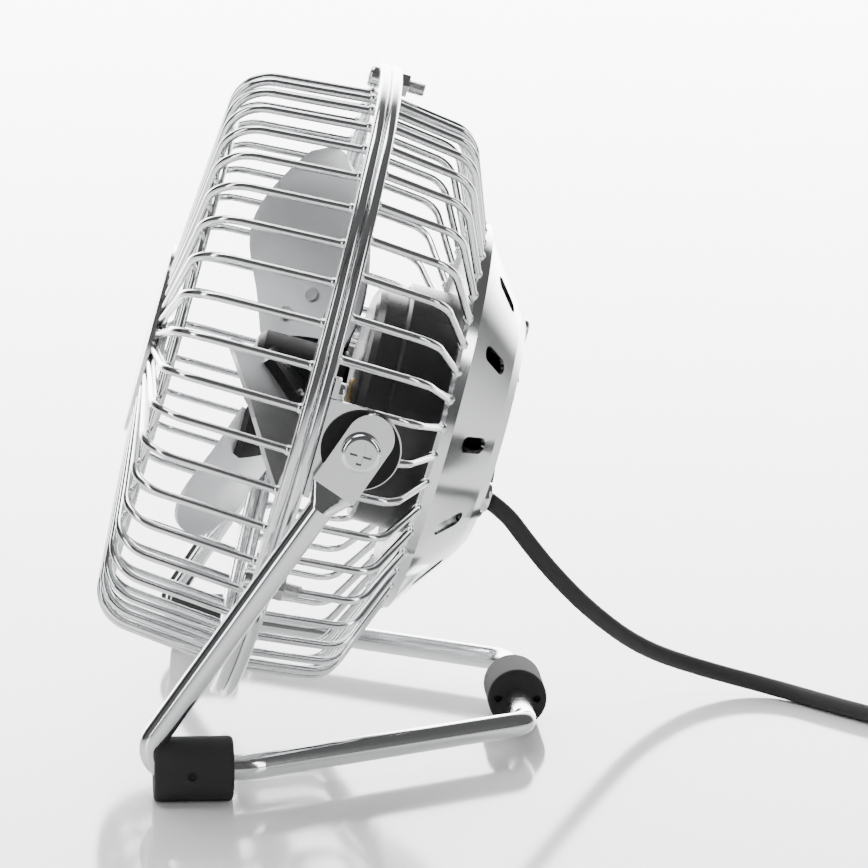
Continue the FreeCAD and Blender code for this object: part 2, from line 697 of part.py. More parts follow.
def cable_gland():
    """Round grommet: outer disc, neck through the cover and inner flange."""
    back = rod_at(COVER_BACK, GLAND_BACK, GLAND_R, GLAND_H)
    edge = [e for e in back.Edges if isinstance(e.Curve, Part.Circle)
            and e.Curve.Center.x > -GLAND_BACK - 0.1]
    back = back.makeFillet(1.0, edge)
    neck = rod_at(COVER_BACK + COVER_WALL, COVER_BACK, 4.5, GLAND_H)
    flange = rod_at(COVER_BACK + COVER_WALL + 1.2, COVER_BACK + COVER_WALL, 5.8, GLAND_H)
    return back.fuse([neck, flange]).removeSplitter()


def cord_tube():
    """Tube along the free stretch of the cord; prints its radii and its volume."""
    points = [V(*p) for p in CORD_ROUTE]
    runs = [(q - p).Length for p, q in zip(points, points[1:])]
    radii = []
    for i in range(1, len(points) - 1):
        turn = (points[i] - points[i - 1]).getAngle(points[i + 1] - points[i])
        radii.append(0.45 * min(runs[i - 1], runs[i]) / math.tan(turn / 2))
    path = rounded_path(points, radii)
    cord = tube(path, CORD_D)
    section = math.pi * CORD_D ** 2 / 4
    print("cord runs", [round(run, 1) for run in runs])
    print("cord radii", [round(radius, 1) for radius in radii])
    print("cord volume", round(cord.Volume, 1), "section x length", round(section * path.Length, 1))
    print("cord tube length", round(path.Length, 1))
    return cord


def coil_centre():
    """Centre of the coil, from the cord's last point and the entry angle."""
    outer_turn = COIL_D / 2 + (COIL_WIDE - 1) * CORD_D / 2
    entry = math.radians(COIL_ENTRY)
    end = V(*CORD_ROUTE[-1])
    return V(end.x - outer_turn * math.cos(entry), end.y - outer_turn * math.sin(entry), 0)


def cord_coil():
    """One closed ring with the outer shape of the wound cord."""
    half = COIL_WIDE * CORD_D / 2
    height = COIL_LAYERS * CORD_D
    ring = Part.makeCylinder(COIL_D / 2 + half, height, coil_centre())
    turns = COIL_WIDE * COIL_LAYERS + (TAIL_ENTRY - COIL_ENTRY) / 360
    print("coil centre", coil_centre(), "cord length", round(turns * math.pi * COIL_D, 1))
    return ring.cut(Part.makeCylinder(COIL_D / 2 - half, height, coil_centre()))


def cord_tie():
    """Flat tie over the coil, down to the surface on both sides of it."""
    half = COIL_WIDE * CORD_D / 2
    height = COIL_LAYERS * CORD_D
    block = Part.makeBox(2 * half + 1.6, 4.0, height + 0.8, V(-half - 0.8, -2, 0))
    block = block.cut(Part.makeBox(2 * half, 6.0, height, V(-half, -3, 0)))
    block.translate(V(COIL_D / 2, 0, 0))
    block.rotate(V(0, 0, 0), Z_AXIS, 150)
    block.translate(coil_centre())
    return block.cut(cord_coil())


def plug_parts():
    """Tail of the cord and the plug at its end, lying beside the coil."""
    length, width, height = PLUG_BODY
    shell_l, shell_w, shell_h = PLUG_SHELL
    turn_r = COIL_D / 2 + (COIL_WIDE - 1) * CORD_D / 2
    start = coil_centre() + V(turn_r, 0, 1.5 * CORD_D)
    centre_x = start.x + 1.4
    body_y = start.y + 18.0
    top = height / 2
    points = [start, start + V(0.1, 6, 0), V(centre_x - 0.1, body_y - 5, top),
              V(centre_x, body_y + 0.3, top)]
    tail = tube(rounded_path(points, [18.0, 18.0]), CORD_D)
    body = Part.makeBox(width, length, height, V(centre_x - width / 2, body_y, 0))
    body = body.makeFillet(1.2, body.Edges)
    shell = Part.makeBox(shell_w, shell_l, shell_h,
                         V(centre_x - shell_w / 2, body_y + length, top - shell_h / 2))
    wall = PLUG_SHELL_WALL
    shell = shell.cut(Part.makeBox(shell_w - 2 * wall, shell_l, shell_h - 2 * wall,
                                   V(centre_x - shell_w / 2 + wall, body_y + length + wall,
                                     top - shell_h / 2 + wall)))
    tongue = Part.makeBox(shell_w - 1.2, shell_l - 1.4, 1.8,
                          V(centre_x - shell_w / 2 + 0.6, body_y + length + wall,
                            top + shell_h / 2 - wall - 1.8))
    return tail, body, shell, tongue


def build_guard():
    """Rim, guard wires, badge and their fasteners."""
    for name, ring in rim_rings().items():
        export(name, ring)
    screws, nuts = rim_fasteners()
    export("rim_screws", screws)
    export("rim_nuts", nuts)
    export("front_guard_wires", front_wires())
    export("front_guard_hoop", front_hoop())
    export("rear_guard_wires", rear_wires())
    export("front_badge", front_badge())
    plate, rivet = badge_backing()
    export("badge_backing_plate", plate)
    export("badge_rivet", rivet)


def build_cover():
    """Rear cover with what is fixed to it."""
    export("rear_cover", rear_cover())
    pillars, screws = cover_fixings()
    export("cover_pillars", pillars)
    export("cover_screws", screws)
    body, rocker, terminals = switch_parts()
    export("switch_body", body)
    export("switch_rocker", rocker)
    export("switch_terminals", terminals)
    export("cable_gland", cable_gland())


def build_motor():
    """Motor, its housings and the mount plate."""
    export("motor_mount_plate", mount_plate())
    front, collar, screws = motor_housings()
    export("front_motor_housing", front)
    export("rear_motor_housing", collar)
    export("housing_screws", screws)
    can, cap, magnets, brushes, bushes = motor_stator()
    export("motor_can", can)
    export("motor_end_cap", cap)
    export("motor_magnets", magnets)
    export("motor_brushes", brushes)
    export("shaft_bushes", bushes)


def build_rotor():
    """Everything that spins."""
    shaft, core, commutator = motor_rotor()
    export("motor_shaft", shaft)
    export("motor_armature", core)
    export("motor_commutator", commutator)
    hub, blades, pins = fan_rotor()
    export("fan_hub", hub)
    export("fan_blades", blades)
    export("blade_pins", pins)


def build_pivot():
    """Brackets and fasteners of the tilt pivot."""
    near = pivot_bracket()
    export("near_pivot_bracket", near)
    export("far_pivot_bracket", mirrored(pivot_bracket()))
    export("bracket_screws", bracket_screws())
    screws, washers, nuts = pivot_fasteners()
    export("pivot_screws", screws)
    export("pivot_washers", washers)
    export("pivot_nuts", nuts)


def build_stand():
    """Bent rod and its three feet."""
    rod = stand_rod()
    export("stand_rod", rod, head=False)
    names = ("near_front_foot", "far_front_foot", "rear_foot")
    for name, foot in zip(names, feet(rod)):
        export(name, foot, head=False)


def build_cord():
    """Cord, coil, tie and plug."""
    export("power_cord", cord_tube(), head=False)
    export("cord_coil", cord_coil(), head=False)
    export("cord_tie", cord_tie(), head=False)
    tail, body, shell, tongue = plug_parts()
    export("cord_tail", tail, head=False)
    export("plug_body", body, head=False)
    export("plug_shell", shell, head=False)
    export("plug_tongue", tongue, head=False)


os.makedirs("parts", exist_ok=True)
build_guard()
build_cover()
build_motor()
build_rotor()
build_pivot()
build_stand()
build_cord()
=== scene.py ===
import math

import bpy
import numpy as np
from mathutils import Matrix, Vector


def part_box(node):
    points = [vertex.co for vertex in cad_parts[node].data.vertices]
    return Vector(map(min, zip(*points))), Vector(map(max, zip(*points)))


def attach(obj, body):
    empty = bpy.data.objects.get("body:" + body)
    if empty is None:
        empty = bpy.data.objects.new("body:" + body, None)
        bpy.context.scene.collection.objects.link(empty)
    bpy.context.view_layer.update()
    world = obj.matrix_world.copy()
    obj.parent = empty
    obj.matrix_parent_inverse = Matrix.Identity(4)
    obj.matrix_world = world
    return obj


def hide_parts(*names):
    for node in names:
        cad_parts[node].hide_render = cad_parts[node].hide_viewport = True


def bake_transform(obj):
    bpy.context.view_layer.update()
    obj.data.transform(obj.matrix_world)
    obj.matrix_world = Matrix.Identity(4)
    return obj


bl_info = {
    "name": "Desk Fan Looks",
    "version": (1, 0, 0),
    "blender": (4, 5, 0),
    "location": "View3D > Sidebar > Desk Fan",
    "description": "Materials, cord and fine detail for a small tilting desk fan",
    "category": "Object",
}

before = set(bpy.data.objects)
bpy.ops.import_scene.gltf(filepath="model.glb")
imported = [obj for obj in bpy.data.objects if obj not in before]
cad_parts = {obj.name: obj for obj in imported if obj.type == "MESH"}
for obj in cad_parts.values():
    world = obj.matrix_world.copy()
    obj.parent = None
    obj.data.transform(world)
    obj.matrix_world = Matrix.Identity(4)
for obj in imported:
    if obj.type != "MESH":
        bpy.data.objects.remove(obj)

# Route of the free cord in metres, from the gland to the coil
CORD_ROUTE = [
    (0.03485, 0.0, 0.04655), (0.0386, 0.0, 0.0440), (0.0429, 0.0009, 0.0382),
    (0.0495, 0.0032, 0.0300), (0.0586, 0.0080, 0.0206), (0.0702, 0.0176, 0.0110),
    (0.0842, 0.0250, 0.0049), (0.0992, 0.0214, 0.0018), (0.1124, 0.0030, 0.0018),
    (0.1252, -0.0120, 0.0018),
]
COIL_START = (0.1392, -0.0216)
COIL_ENTRY = math.radians(-120.0)
COIL_WIDE = 4
COIL_LAYERS = 2
TURN_POINTS = 16
# Share of a turn after which the cord steps over to the next turn
STEP_START = 0.8
# Free length between the coil and the plug body, and how far the cord goes into it
TAIL_RUN = 0.006
TAIL_GAP = 0.005
PLUG_DEPTH = 0.0003

# Brightness of the room in front of the object and of the wall behind it
ROOM_LIGHT = 0.12
WALL_LIGHT = 13.0
# Y of the view direction where the wall's light starts, and where it is full
WALL_START = 0.6
WALL_FULL = 0.93

# Stage: what the lights and cards face, then each one's name, place and size, and its power
STAGE_AIM = (0.0, 0.0, 0.07)
CARDS = (
    ("card_left", (-0.62, -0.95, 0.35), (0.16, 1.2)),
    ("card_right", (0.60, -0.95, 0.35), (0.16, 1.2)),
    ("card_high", (0.05, -0.75, 1.0), (1.6, 0.20)),
    ("card_front", (-1.5, 0.3, 0.4), (0.5, 1.2)),
)
LIGHTS = (
    ("top_light", (-0.2, 0.25, 1.5), (1.0, 0.6), 17.0),
    ("left_light", (-1.2, -0.9, 0.7), (0.25, 1.2), 8.0),
    ("right_light", (1.2, -0.9, 0.7), (0.25, 1.2), 7.0),
)
CARD_COLOUR = (0.01, 0.01, 0.01)
CARD_ROUGHNESS = 0.8
FLOOR_ROUGHNESS = 0.10


class FanSizes(bpy.types.PropertyGroup):
    """Sizes of the pieces that are made here, in metres and degrees."""

    cord_d: bpy.props.FloatProperty(name="Cord diameter", default=0.0036, precision=4)
    coil_d: bpy.props.FloatProperty(name="Coil diameter", default=0.036, precision=4)
    pivot_x: bpy.props.FloatProperty(name="Pivot X", default=0.0059, precision=4)
    pivot_z: bpy.props.FloatProperty(name="Pivot Z", default=0.0688, precision=4)
    tilt: bpy.props.FloatProperty(name="Head tilt", default=14.7)
    camera_azimuth: bpy.props.FloatProperty(name="Camera azimuth", default=3.17)
    camera_elevation: bpy.props.FloatProperty(name="Camera elevation", default=9.64)
    camera_roll: bpy.props.FloatProperty(name="Camera roll", default=1.25)
    camera_distance: bpy.props.FloatProperty(name="Camera distance", default=0.6685)
    camera_lens: bpy.props.FloatProperty(name="Camera lens", default=133.9)
    aim_x: bpy.props.FloatProperty(name="Camera aim X", default=0.0233, precision=5)
    aim_z: bpy.props.FloatProperty(name="Camera aim Z", default=0.06033, precision=5)
    floor_size: bpy.props.FloatProperty(name="Floor size", default=30.0)


class FanColours(bpy.types.PropertyGroup):
    """Base colours of the finishes."""

    chrome: bpy.props.FloatVectorProperty(
        name="Chrome", subtype="COLOR", size=3, default=(0.60, 0.60, 0.61))
    aluminium: bpy.props.FloatVectorProperty(
        name="Blade aluminium", subtype="COLOR", size=3, default=(0.50, 0.50, 0.50))
    steel: bpy.props.FloatVectorProperty(
        name="Plain steel", subtype="COLOR", size=3, default=(0.46, 0.46, 0.46))
    black_gloss: bpy.props.FloatVectorProperty(
        name="Gloss black", subtype="COLOR", size=3, default=(0.005, 0.005, 0.0055))
    black_matte: bpy.props.FloatVectorProperty(
        name="Matte black", subtype="COLOR", size=3, default=(0.007, 0.007, 0.0075))
    rubber: bpy.props.FloatVectorProperty(
        name="Rubber", subtype="COLOR", size=3, default=(0.004, 0.004, 0.004))
    cord: bpy.props.FloatVectorProperty(
        name="Cord", subtype="COLOR", size=3, default=(0.005, 0.005, 0.005))
    brass: bpy.props.FloatVectorProperty(
        name="Brass", subtype="COLOR", size=3, default=(0.62, 0.44, 0.20))
    floor: bpy.props.FloatVectorProperty(
        name="Floor", subtype="COLOR", size=3, default=(0.92, 0.92, 0.92))


# Weld spots of the guards: station and radius on the head's axis, count, phase and spot size
WELDS = (
    (0.01235, 0.0606, 46, 0.8, 0.00105), (0.0078, 0.0606, 46, -1.6, 0.00105),
    (0.03858, 0.0495, 46, 0.8, 0.00090), (-0.0160, 0.0417, 46, -1.6, 0.00115),
)
# Threaded ends of the rim screws: first and last station, radius out, core, pitch, count
THREAD = (0.0056, 0.0026, 0.0638, 0.00122, 0.0005, 3)
THREAD_RIDGE = 0.00017
THREAD_STEPS = 14
THREAD_SIDES = 6

# Node names by finish
CHROME_NODES = ("front_rim_ring", "rear_rim_ring", "rim_screws", "rim_nuts", "front_guard_wires",
                "front_guard_hoop", "rear_guard_wires", "front_badge", "near_pivot_bracket",
                "far_pivot_bracket", "bracket_screws", "pivot_screws", "pivot_nuts",
                "cover_screws", "stand_rod", "rear_cover")
STEEL_NODES = ("badge_backing_plate", "badge_rivet", "cover_pillars", "motor_mount_plate",
               "housing_screws", "motor_can", "motor_shaft", "motor_armature", "blade_pins",
               "plug_shell", "motor_magnets")
GLOSS_NODES = ("front_motor_housing", "rear_motor_housing", "switch_rocker", "cable_gland",
               "plug_body")
MATTE_NODES = ("fan_hub", "switch_body", "motor_end_cap", "pivot_washers", "cord_tie",
               "plug_tongue")
RUBBER_NODES = ("near_front_foot", "far_front_foot", "rear_foot")
BRASS_NODES = ("switch_terminals", "motor_brushes", "shaft_bushes", "motor_commutator")


def sizes():
    """The scene's size properties."""
    return bpy.context.scene.fan_sizes


def colours():
    """The scene's colour properties."""
    return bpy.context.scene.fan_colours


def head_points(station, side, up):
    """Row-frame points of head coordinates: p = pivot + R_y(tilt) (-a, y, h), whole arrays."""
    s = sizes()
    turn = math.radians(s.tilt)
    a = np.asarray(station, float)
    h = np.asarray(up, float)
    x = s.pivot_x - a * math.cos(turn) + h * math.sin(turn)
    z = s.pivot_z + a * math.sin(turn) + h * math.cos(turn)
    return np.stack(np.broadcast_arrays(x, np.asarray(side, float), z), axis=-1)


def new_piece(name, verts, faces, material, smooth=True):
    """Mesh object from vertex and face arrays, shaded and given one material."""
    mesh = bpy.data.meshes.new(name)
    mesh.from_pydata([tuple(v) for v in verts], [], [tuple(f) for f in faces])
    mesh.validate()
    if smooth:
        mesh.shade_smooth()
    else:
        mesh.shade_flat()
    mesh.materials.append(material)
    piece = bpy.data.objects.new(name, mesh)
    bpy.context.scene.collection.objects.link(piece)
    return piece


def grid_faces(rows, columns, wrap=True):
    """Quads of a grid of vertices; quad (i, j) joins row i to row i + 1."""
    i, j = np.meshgrid(np.arange(rows - 1), np.arange(columns if wrap else columns - 1),
                       indexing="ij")
    right = (j + 1) % columns
    quads = np.stack([i * columns + j, i * columns + right, (i + 1) * columns + right,
                      (i + 1) * columns + j], axis=-1)
    return quads.reshape(-1, 4)


def sweep(path, radius, sides=16):
    """Tube round a path: ring_k(t) = p_k + r_k (cos t n_k + sin t b_k), with n_k carried along.

    The normal n_k is n_(k-1) less its part along the tangent t_k, so the rings don't twist.
    """
    path = np.asarray(path, float)
    tangent = np.gradient(path, axis=0)
    tangent /= np.linalg.norm(tangent, axis=1, keepdims=True)
    normal = np.empty_like(path)
    start = np.cross(tangent[0], (0.0, 0.0, 1.0))
    normal[0] = start / np.linalg.norm(start)
    for k in range(1, len(path)):
        carried = normal[k - 1] - tangent[k] * np.dot(normal[k - 1], tangent[k])
        normal[k] = carried / np.linalg.norm(carried)
    binormal = np.cross(tangent, normal)
    angle = np.linspace(0, 2 * math.pi, sides, endpoint=False)
    r = np.broadcast_to(np.asarray(radius, float), (len(path),))[:, None, None]
    rings = path[:, None] + r * (np.cos(angle)[None, :, None] * normal[:, None]
                                 + np.sin(angle)[None, :, None] * binormal[:, None])
    verts = rings.reshape(-1, 3)
    faces = [tuple(f) for f in grid_faces(len(path), sides)]
    faces.append(tuple(range(sides - 1, -1, -1)))
    faces.append(tuple(range((len(path) - 1) * sides, len(path) * sides)))
    return verts, faces


def spots(centres, radius, rings=5, sides=8):
    """Small balls, whole arrays: p = c + r (sin u cos v, sin u sin v, cos u)."""
    u = np.linspace(0.12, math.pi - 0.12, rings)[:, None]
    v = np.linspace(0, 2 * math.pi, sides, endpoint=False)[None, :]
    ball = np.stack(np.broadcast_arrays(np.sin(u) * np.cos(v), np.sin(u) * np.sin(v),
                                        np.cos(u)), axis=-1).reshape(-1, 3)
    quads = grid_faces(rings, sides)
    verts = (np.asarray(centres)[:, None] + radius * ball[None]).reshape(-1, 3)
    faces = []
    for k in range(len(centres)):
        base = k * rings * sides
        faces += [tuple(q + base) for q in quads]
        faces.append(tuple(base + i for i in range(sides - 1, -1, -1)))
        faces.append(tuple(base + (rings - 1) * sides + i for i in range(sides)))
    return verts, faces


def joined(parts):
    """One vertex array and one face list from several pieces."""
    verts = []
    faces = []
    base = 0
    for part_verts, part_faces in parts:
        verts.append(part_verts)
        faces += [tuple(int(i) + base for i in face) for face in part_faces]
        base += len(part_verts)
    return np.concatenate(verts), faces


def ring_angles(count, phase):
    """Evenly spread angles round the fan axis, measured from the top towards -Y."""
    return np.radians(phase + 360.0 * np.arange(count) / count)


class FAN_OT_welds(bpy.types.Operator):
    """Weld spots where the guard wires meet the rim, hoop and cover"""

    bl_idname = "fan.welds"
    bl_label = "Weld spots"

    def execute(self, context):
        parts = []
        for station, radius, count, phase, size in WELDS:
            angle = ring_angles(count, phase)
            centres = head_points(station, -radius * np.sin(angle), radius * np.cos(angle))
            parts.append(spots(centres, size))
        verts, faces = joined(parts)
        welds = new_piece("weld_spots", verts, faces, material_named("chrome", chrome_material))
        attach(welds, "head")
        return {"FINISHED"}


class FAN_OT_threads(bpy.types.Operator):
    """Screw threads on the ends of the rim screws"""

    bl_idname = "fan.threads"
    bl_label = "Screw threads"

    def execute(self, context):
        first, last, out, core, pitch, count = THREAD
        turns = (first - last) / pitch
        t = np.linspace(0, 1, int(turns * THREAD_STEPS) + 1)
        spin = 2 * math.pi * turns * t
        parts = []
        for angle in ring_angles(count, 0.0):
            side = core * np.sin(spin)
            up = out + core * np.cos(spin)
            path = head_points(first - (first - last) * t,
                               side * math.cos(angle) - up * math.sin(angle),
                               up * math.cos(angle) + side * math.sin(angle))
            parts.append(sweep(path, THREAD_RIDGE, THREAD_SIDES))
        verts, faces = joined(parts)
        threads = new_piece("screw_threads", verts, faces,
                            material_named("plain_steel", steel_material))
        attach(threads, "head")
        return {"FINISHED"}


def node_maker(material):
    """Shorthand that adds nodes with set values and links to one material."""
    tree = material.node_tree

    def make(kind, values=None, links=None, **settings):
        node = tree.nodes.new(kind)
        for key, value in settings.items():
            setattr(node, key, value)
        for key, value in (values or {}).items():
            node.inputs[key].default_value = value
        for key, socket in (links or {}).items():
            tree.links.new(socket, node.inputs[key])
        return node

    return make


def finish_material(name, colour, metallic, roughness, spread, grain, bump, stretch=(1, 1, 1),
                    coat=0.0, tone=0.12, wear=0.0, shine=0.5):
    """Principled finish: fine noise gives tone and relief, and both noises vary the roughness."""
    material = bpy.data.materials.new(name)
    material.use_nodes = True
    material.node_tree.nodes.clear()
    make = node_maker(material)
    place = make("ShaderNodeTexCoord")
    lie = make("ShaderNodeMapping", {"Scale": stretch}, {"Vector": place.outputs["Object"]})
    broad = make("ShaderNodeTexNoise", {"Scale": 60.0, "Detail": 5.0},
                 {"Vector": place.outputs["Object"]})
    fine = make("ShaderNodeTexNoise", {"Scale": grain, "Detail": 6.0, "Roughness": 0.6},
                {"Vector": lie.outputs["Vector"]})
    rough = make("ShaderNodeMapRange", {"To Min": max(0.02, roughness - spread),
                                        "To Max": roughness + spread},
                 {"Value": broad.outputs["Fac"]})
    rough_fine = make("ShaderNodeMapRange", {"To Min": -0.5 * spread, "To Max": 0.5 * spread},
                      {"Value": fine.outputs["Fac"]})
    rough_sum = make("ShaderNodeMath", None, {0: rough.outputs["Result"],
                                              1: rough_fine.outputs["Result"]},
                     operation="ADD", use_clamp=True)
    dark = tuple(c * (1 - tone) for c in colour) + (1,)
    light = tuple(min(1.0, c * (1 + tone)) for c in colour) + (1,)
    shade = make("ShaderNodeMixRGB", {"Color1": dark, "Color2": light},
                 {"Fac": fine.outputs["Fac"]})
    colour_out = shade.outputs[0]
    if wear:
        edge = make("ShaderNodeNewGeometry")
        pick = make("ShaderNodeMapRange", {"From Min": 0.53, "From Max": 0.62, "To Max": wear},
                    {"Value": edge.outputs["Pointiness"]})
        worn = make("ShaderNodeMixRGB", {"Color2": tuple(min(1.0, c * 1.6 + 0.01)
                                                         for c in colour) + (1,)},
                    {"Fac": pick.outputs["Result"], "Color1": colour_out})
        colour_out = worn.outputs[0]
    relief = make("ShaderNodeBump", {"Strength": bump, "Distance": 0.0002},
                  {"Height": fine.outputs["Fac"]})
    surface = make("ShaderNodeBsdfPrincipled", {"Metallic": metallic, "Coat Weight": coat,
                                                "Coat Roughness": 0.08,
                                                "Specular IOR Level": shine},
                   {"Base Color": colour_out, "Roughness": rough_sum.outputs[0],
                    "Normal": relief.outputs["Normal"]})
    make("ShaderNodeOutputMaterial", None, {"Surface": surface.outputs["BSDF"]})
    return material


def chrome_material():
    """Bright plated steel with faint smudges."""
    return finish_material("chrome", tuple(colours().chrome), metallic=1.0, roughness=0.07,
                           spread=0.03, grain=900.0, bump=0.02, tone=0.03)


def aluminium_material():
    """Satin sheet with a fine grain along the blades."""
    return finish_material("blade_aluminium", tuple(colours().aluminium), metallic=0.9,
                           roughness=0.42, spread=0.08, grain=700.0, bump=0.25,
                           stretch=(2.0, 2.0, 0.25), tone=0.16, wear=0.3)


def steel_material():
    """Plain bright steel with a light rolled grain."""
    return finish_material("plain_steel", tuple(colours().steel), metallic=1.0, roughness=0.26,
                           spread=0.08, grain=800.0, bump=0.12, stretch=(1.0, 3.0, 1.0),
                           tone=0.1)


def gloss_material():
    """Glossy moulded black with light flow marks."""
    return finish_material("gloss_black", tuple(colours().black_gloss), metallic=0.0,
                           roughness=0.20, spread=0.06, grain=500.0, bump=0.06,
                           stretch=(1.0, 1.0, 3.0), coat=0.1, tone=0.3, wear=0.25, shine=0.3)


def matte_material():
    """Moulded black with a fine spark texture."""
    return finish_material("matte_black", tuple(colours().black_matte), metallic=0.0,
                           roughness=0.42, spread=0.08, grain=1400.0, bump=0.35, tone=0.25,
                           wear=0.3, shine=0.2)


def rubber_material():
    """Satin moulded rubber with dusty edges."""
    return finish_material("foot_rubber", tuple(colours().rubber), metallic=0.0,
                           roughness=0.38, spread=0.07, grain=1600.0, bump=0.3, tone=0.3,
                           wear=0.4, shine=0.22)


def cord_material():
    """Flexible jacket with a slight drawn grain."""
    return finish_material("cord_jacket", tuple(colours().cord), metallic=0.0, roughness=0.36,
                           spread=0.06, grain=1200.0, bump=0.25, tone=0.3, wear=0.1,
                           shine=0.3)


def brass_material():
    """Sintered brass."""
    return finish_material("sintered_brass", tuple(colours().brass), metallic=1.0,
                           roughness=0.35, spread=0.08, grain=1500.0, bump=0.3, tone=0.15)


def material_named(name, maker):
    """The material of a name, made the first time it is asked for."""
    return bpy.data.materials.get(name) or maker()


def dress(names, material):
    """Give every listed CAD node one material."""
    for name in names:
        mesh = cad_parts[name].data
        mesh.materials.clear()
        mesh.materials.append(material)


class FAN_OT_camera(bpy.types.Operator):
    """Place the camera low on the fan's near side"""

    bl_idname = "fan.camera"
    bl_label = "Camera"

    def execute(self, context):
        s = sizes()
        low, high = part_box("stand_rod")
        target = Vector((s.aim_x, 0.5 * (low[1] + high[1]), s.aim_z))
        az = math.radians(s.camera_azimuth)
        el = math.radians(s.camera_elevation)
        roll = math.radians(s.camera_roll)
        back = Vector((-math.sin(az) * math.cos(el), -math.cos(az) * math.cos(el), math.sin(el)))
        level = Vector((0, 0, 1)).cross(back).normalized()
        rise = back.cross(level)
        right = level * math.cos(roll) + rise * math.sin(roll)
        up = rise * math.cos(roll) - level * math.sin(roll)
        data = bpy.data.cameras.new("camera")
        data.sensor_width = 36.0
        data.lens = s.camera_lens
        data.clip_end = 50.0
        camera = bpy.data.objects.new("camera", data)
        turn = Matrix((right, up, back)).transposed().to_4x4()
        camera.matrix_world = Matrix.Translation(target + back * s.camera_distance) @ turn
        context.scene.collection.objects.link(camera)
        context.scene.camera = camera
        return {"FINISHED"}


def coil_points():
    """Centre line of the coil: turns in two layers, and the step to the next turn last.

    Turn n has radius D/2 + (W-1) d/2 - d n on the first layer and goes out again on the second.
    """
    s = sizes()
    d = s.cord_d
    outer = s.coil_d / 2 + (COIL_WIDE - 1) * d / 2
    centre = (COIL_START[0] - outer * math.cos(COIL_ENTRY),
              COIL_START[1] - outer * math.sin(COIL_ENTRY))
    turns = COIL_WIDE * COIL_LAYERS - COIL_ENTRY / (2 * math.pi)
    t = np.arange(0, turns + 1e-6, 1 / TURN_POINTS)
    turn = np.minimum(np.floor(t), COIL_WIDE * COIL_LAYERS - 1)
    step = np.clip((t - turn - STEP_START) / (1 - STEP_START), 0, 1)
    last_step = COIL_WIDE * COIL_LAYERS - (1 - STEP_START)
    step = np.where(t >= last_step, 0.0, step * step * (3 - 2 * step))
    inward = list(range(COIL_WIDE))
    lane = np.array(inward + inward[::-1] + [0])
    level = np.repeat([0, 1], [COIL_WIDE, COIL_WIDE + 1])
    index = turn.astype(int)
    lane_at = lane[index] * (1 - step) + lane[index + 1] * step
    level_at = level[index] * (1 - step) + level[index + 1] * step
    radius = outer - d * lane_at
    angle = COIL_ENTRY + 2 * math.pi * t
    return np.stack([centre[0] + radius * np.cos(angle), centre[1] + radius * np.sin(angle),
                     d / 2 + d * level_at], axis=-1)


def tail_points(last):
    """Control points from the coil's last turn into the plug body."""
    low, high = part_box("plug_body")
    middle = (low + high) / 2
    return [(last[0], last[1] + TAIL_RUN, last[2]),
            (middle[0], low[1] - TAIL_GAP, middle[2]),
            (middle[0], low[1] + PLUG_DEPTH, middle[2])]


def nurbs_line(points):
    """Points along one smooth NURBS spline that has the given control points."""
    curve = bpy.data.curves.new("cord_route", "CURVE")
    curve.dimensions = "3D"
    curve.resolution_u = 6
    spline = curve.splines.new("NURBS")
    spline.points.add(len(points) - 1)
    for point, place in zip(spline.points, points):
        point.co = (*place, 1.0)
    spline.order_u = 3
    spline.use_endpoint_u = True
    holder = bpy.data.objects.new("cord_route", curve)
    bpy.context.scene.collection.objects.link(holder)
    bpy.context.view_layer.update()
    line = bpy.data.meshes.new_from_object(holder)
    path = np.array([tuple(v.co) for v in line.vertices])
    bpy.data.objects.remove(holder)
    bpy.data.curves.remove(curve)
    bpy.data.meshes.remove(line)
    return path


class FAN_OT_cord(bpy.types.Operator):
    """Lay the cord from the gland to its coil and plug"""

    bl_idname = "fan.cord"
    bl_label = "Cord"

    def execute(self, context):
        s = sizes()
        coil = coil_points()
        points = CORD_ROUTE + [tuple(p) for p in coil] + tail_points(coil[-1])
        path = nurbs_line(points)
        verts, faces = sweep(path, s.cord_d / 2)
        cord = new_piece("cord", verts, faces, material_named("cord_jacket", cord_material))
        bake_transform(cord)
        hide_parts("power_cord", "cord_coil", "cord_tail")
        return {"FINISHED"}


class FAN_OT_finishes(bpy.types.Operator):
    """Give every CAD node its finish"""

    bl_idname = "fan.finishes"
    bl_label = "Finishes"

    def execute(self, context):
        dress(CHROME_NODES, material_named("chrome", chrome_material))
        dress(STEEL_NODES, material_named("plain_steel", steel_material))
        dress(GLOSS_NODES, material_named("gloss_black", gloss_material))
        dress(MATTE_NODES, material_named("matte_black", matte_material))
        dress(RUBBER_NODES, material_named("foot_rubber", rubber_material))
        dress(BRASS_NODES, material_named("sintered_brass", brass_material))
        dress(("fan_blades",), material_named("blade_aluminium", aluminium_material))
        return {"FINISHED"}


def area_light(name, place, aim, size, power):
    """Rectangular soft light at a place, turned to face a point."""
    data = bpy.data.lights.new(name, "AREA")
    data.shape = "RECTANGLE"
    data.size, data.size_y = size
    data.energy = power
    light = bpy.data.objects.new(name, data)
    direction = Vector(aim) - Vector(place)
    light.matrix_world = (Matrix.Translation(place)
                          @ direction.to_track_quat("-Z", "Y").to_matrix().to_4x4())
    bpy.context.scene.collection.objects.link(light)
    return light


